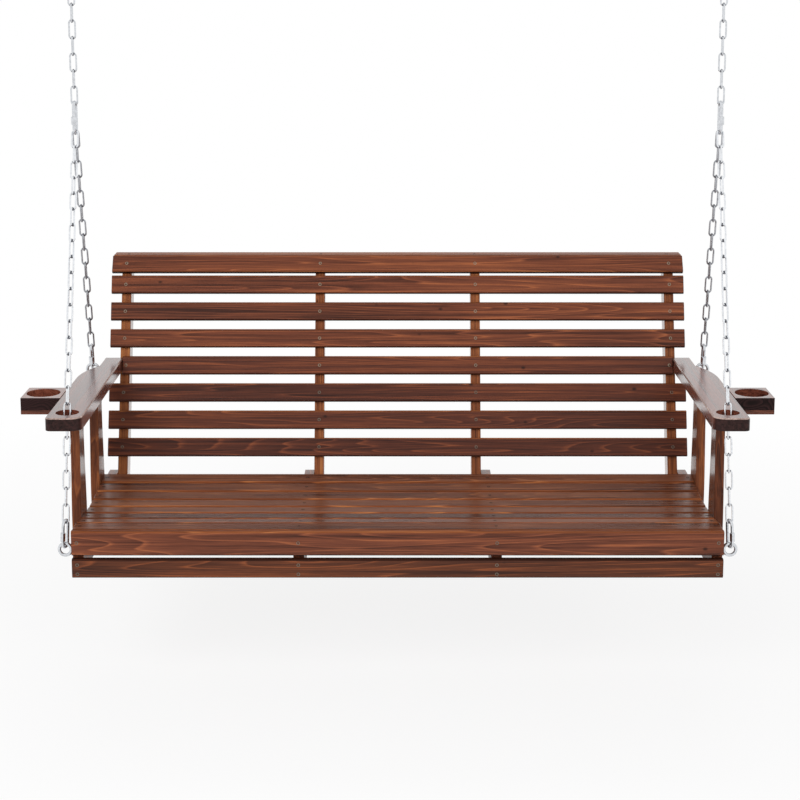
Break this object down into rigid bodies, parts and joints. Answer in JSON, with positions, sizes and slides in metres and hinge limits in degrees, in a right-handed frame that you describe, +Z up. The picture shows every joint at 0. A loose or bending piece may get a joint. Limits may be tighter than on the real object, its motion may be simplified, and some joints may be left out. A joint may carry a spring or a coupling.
{
  "type": "swing bench",
  "caption": "Slatted wooden porch swing bench with a leaning back, shaped arms and cup holders, hung on chains with screw links from two ceiling hangers so that it swings and tilts.",
  "frame": {"origin": "in the ceiling plane, midway between the two ceiling hangers", "axes": "+X along the bench, to the right as seen from the front, +Y from front to back, +Z up"},
  "size_m": [1.79, 0.7664, 1.3682],
  "materials": {
    "stained_wood": "stained and varnished, satin to gloss",
    "cup_base_wood": "stained and varnished, satin",
    "zinc_steel": "bright zinc plated"
  },
  "bodies": {
    "ceiling_mounts": {"ceiling_hanger_left": "zinc_steel", "ceiling_hanger_right": "zinc_steel"},
    "upper_chains": {"junction_link_left": "zinc_steel", "junction_link_right": "zinc_steel", "upper_chain_left": "zinc_steel", "upper_chain_right": "zinc_steel"},
    "bench": {"arm_left": "stained_wood", "arm_post_front_left": "stained_wood", "arm_post_front_right": "stained_wood", "arm_post_rear_left": "stained_wood", "arm_post_rear_right": "stained_wood", "arm_right": "stained_wood", "back_cap": "stained_wood", "back_post_inner_left": "stained_wood", "back_post_inner_right": "stained_wood", "back_post_outer_left": "stained_wood", "back_post_outer_right": "stained_wood", "back_slat_1": "stained_wood", "back_slat_2": "stained_wood", "back_slat_3": "stained_wood", "back_slat_4": "stained_wood", "back_slat_5": "stained_wood", "back_slat_6": "stained_wood", "back_slat_7": "stained_wood", "back_slat_8": "stained_wood", "cup_bases": "cup_base_wood", "cup_holder_left": "stained_wood", "cup_holder_right": "stained_wood", "eye_bolt_nuts": "zinc_steel", "frame_bolts": "zinc_steel", "front_board_lower": "stained_wood", "front_board_upper": "stained_wood", "front_chain_left": "zinc_steel", "front_chain_right": "zinc_steel", "front_eye_bolts": "zinc_steel", "front_link_left": "zinc_steel", "front_link_right": "zinc_steel", "rear_chain_left": "zinc_steel", "rear_chain_right": "zinc_steel", "rear_eye_bolts": "zinc_steel", "rear_link_left": "zinc_steel", "rear_link_right": "zinc_steel", "seat_slat_1": "stained_wood", "seat_slat_2": "stained_wood", "seat_slat_3": "stained_wood", "seat_slat_4": "stained_wood", "seat_slat_5": "stained_wood", "seat_slat_6": "stained_wood", "seat_slat_7": "stained_wood", "seat_slat_8": "stained_wood", "seat_support_inner_left": "stained_wood", "seat_support_inner_right": "stained_wood", "seat_support_outer_left": "stained_wood", "seat_support_outer_right": "stained_wood"},
    "front_sleeve_left": {"front_sleeve_left": "zinc_steel"},
    "front_sleeve_right": {"front_sleeve_right": "zinc_steel"},
    "junction_sleeve_left": {"junction_sleeve_left": "zinc_steel"},
    "junction_sleeve_right": {"junction_sleeve_right": "zinc_steel"},
    "rear_sleeve_left": {"rear_sleeve_left": "zinc_steel"},
    "rear_sleeve_right": {"rear_sleeve_right": "zinc_steel"}
  },
  "joints": [
    {"name": "swing", "type": "hinge", "parent": "ceiling_mounts", "child": "upper_chains", "pos_m": [0, 0, -0.019], "axis": [1, 0, 0], "range_deg": [-25, 25]},
    {"name": "bench_pitch", "type": "hinge", "parent": "upper_chains", "child": "bench", "pos_m": [0, 0, -0.3628], "axis": [1, 0, 0], "range_deg": [-20, 20]},
    {"name": "front_sleeve_left_travel", "type": "slide", "parent": "bench", "child": "front_sleeve_left", "axis": [0.0309, 0.0884, 0.9956], "range_m": [0, 0.015]},
    {"name": "front_sleeve_right_travel", "type": "slide", "parent": "bench", "child": "front_sleeve_right", "axis": [-0.0309, 0.0884, 0.9956], "range_m": [0, 0.015]},
    {"name": "junction_sleeve_left_travel", "type": "slide", "parent": "upper_chains", "child": "junction_sleeve_left", "axis": [0, 0, 1], "range_m": [0, 0.015]},
    {"name": "junction_sleeve_right_travel", "type": "slide", "parent": "upper_chains", "child": "junction_sleeve_right", "axis": [0, 0, 1], "range_m": [0, 0.015]},
    {"name": "rear_sleeve_left_travel", "type": "slide", "parent": "bench", "child": "rear_sleeve_left", "axis": [0.0107, -0.2682, 0.9633], "range_m": [0, 0.015]},
    {"name": "rear_sleeve_right_travel", "type": "slide", "parent": "bench", "child": "rear_sleeve_right", "axis": [-0.0107, -0.2682, 0.9633], "range_m": [0, 0.015]}
  ]
}
